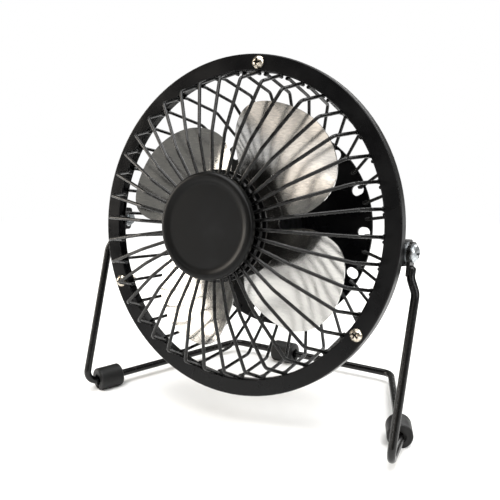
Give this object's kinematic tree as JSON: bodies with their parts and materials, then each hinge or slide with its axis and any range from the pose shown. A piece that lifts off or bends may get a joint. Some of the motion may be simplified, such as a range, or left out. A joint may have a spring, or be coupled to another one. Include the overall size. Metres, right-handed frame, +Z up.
{
  "type": "desk fan",
  "caption": "Small desk fan: a sheet-metal impeller in a round wire cage that tilts on two side pivots in a stand bent from one rod with rubber feet.",
  "frame": {"origin": "on the ground, under the middle of the whole fan", "axes": "+Z is up; the tilt axis runs along X, level; the fan faces -Y and blows that way"},
  "size_m": [0.1537, 0.1006, 0.1531],
  "materials": {
    "black_paint": "gloss black stove enamel on pressed steel",
    "black_wire": "gloss black dipped coating on steel wire",
    "black_cap": "black, softly polished moulding",
    "rod_paint": "gloss black powder coat on bent steel rod",
    "nickel": "bright nickel plate",
    "zinc": "clear zinc plate, slightly dull",
    "aluminium": "rolled sheet, bright satin",
    "machined_steel": "turned steel",
    "motor_steel": "drawn steel can, dull nickel plate",
    "bronze": "sintered bronze, oiled",
    "motor_plastic": "natural nylon",
    "ferrite": "ground ferrite",
    "laminations": "stacked steel laminations",
    "housing_plastic": "black, fine spark-eroded grain",
    "switch_plastic": "black nylon",
    "rocker_plastic": "black, polished by fingers",
    "socket_steel": "tinned pressed steel",
    "board": "green solder mask on glass-fibre board",
    "lead_cover": "red insulation",
    "foot_rubber": "dull black rubber"
  },
  "bodies": {
    "stand": {"stand_rod": "rod_paint", "foot_left": "foot_rubber", "foot_right": "foot_rubber", "foot_rear": "foot_rubber"},
    "head": {"front_rim": "black_paint", "rear_rim": "black_paint", "front_spokes": "black_wire", "rear_spokes": "black_wire", "front_weld_ring": "black_wire", "front_cap": "black_cap", "cap_plate": "black_paint", "cap_screw": "zinc", "rim_screws": "nickel", "rim_nuts": "nickel", "motor_can": "motor_steel", "motor_front_bush": "bronze", "motor_rear_bush": "bronze", "motor_end_cap": "motor_plastic", "motor_magnets": "ferrite", "motor_spacers": "zinc", "motor_screws": "zinc", "rear_disc": "black_paint", "rear_housing": "housing_plastic", "housing_screws": "zinc", "switch_body": "switch_plastic", "usb_socket": "socket_steel", "socket_tongue": "switch_plastic", "circuit_board": "board", "inner_leads": "lead_cover", "bracket_left": "black_paint", "bracket_right": "black_paint", "pivot_washers": "zinc", "pivot_screws": "zinc", "pivot_nuts": "zinc"},
    "rotor": {"impeller": "aluminium", "hub_boss": "machined_steel", "hub_rivets": "nickel", "blade_nut": "nickel", "motor_shaft": "machined_steel", "motor_armature": "laminations"},
    "rocker": {"switch_rocker": "rocker_plastic"}
  },
  "joints": [
    {"name": "tilt", "type": "hinge", "parent": "stand", "child": "head", "pos_m": [0, -0.01303, 0.0795], "axis": [1, 0, 0], "continuous": true},
    {"name": "spin", "type": "hinge", "parent": "head", "child": "rotor", "pos_m": [0, -0.01998, 0.08387], "axis": [0, -0.9848, 0.1736], "continuous": true},
    {"name": "switch", "type": "hinge", "parent": "head", "child": "rocker", "pos_m": [0, 0.02792, 0.0866], "axis": [0, 0.1736, 0.9848], "range_deg": [-16, 0]}
  ]
}
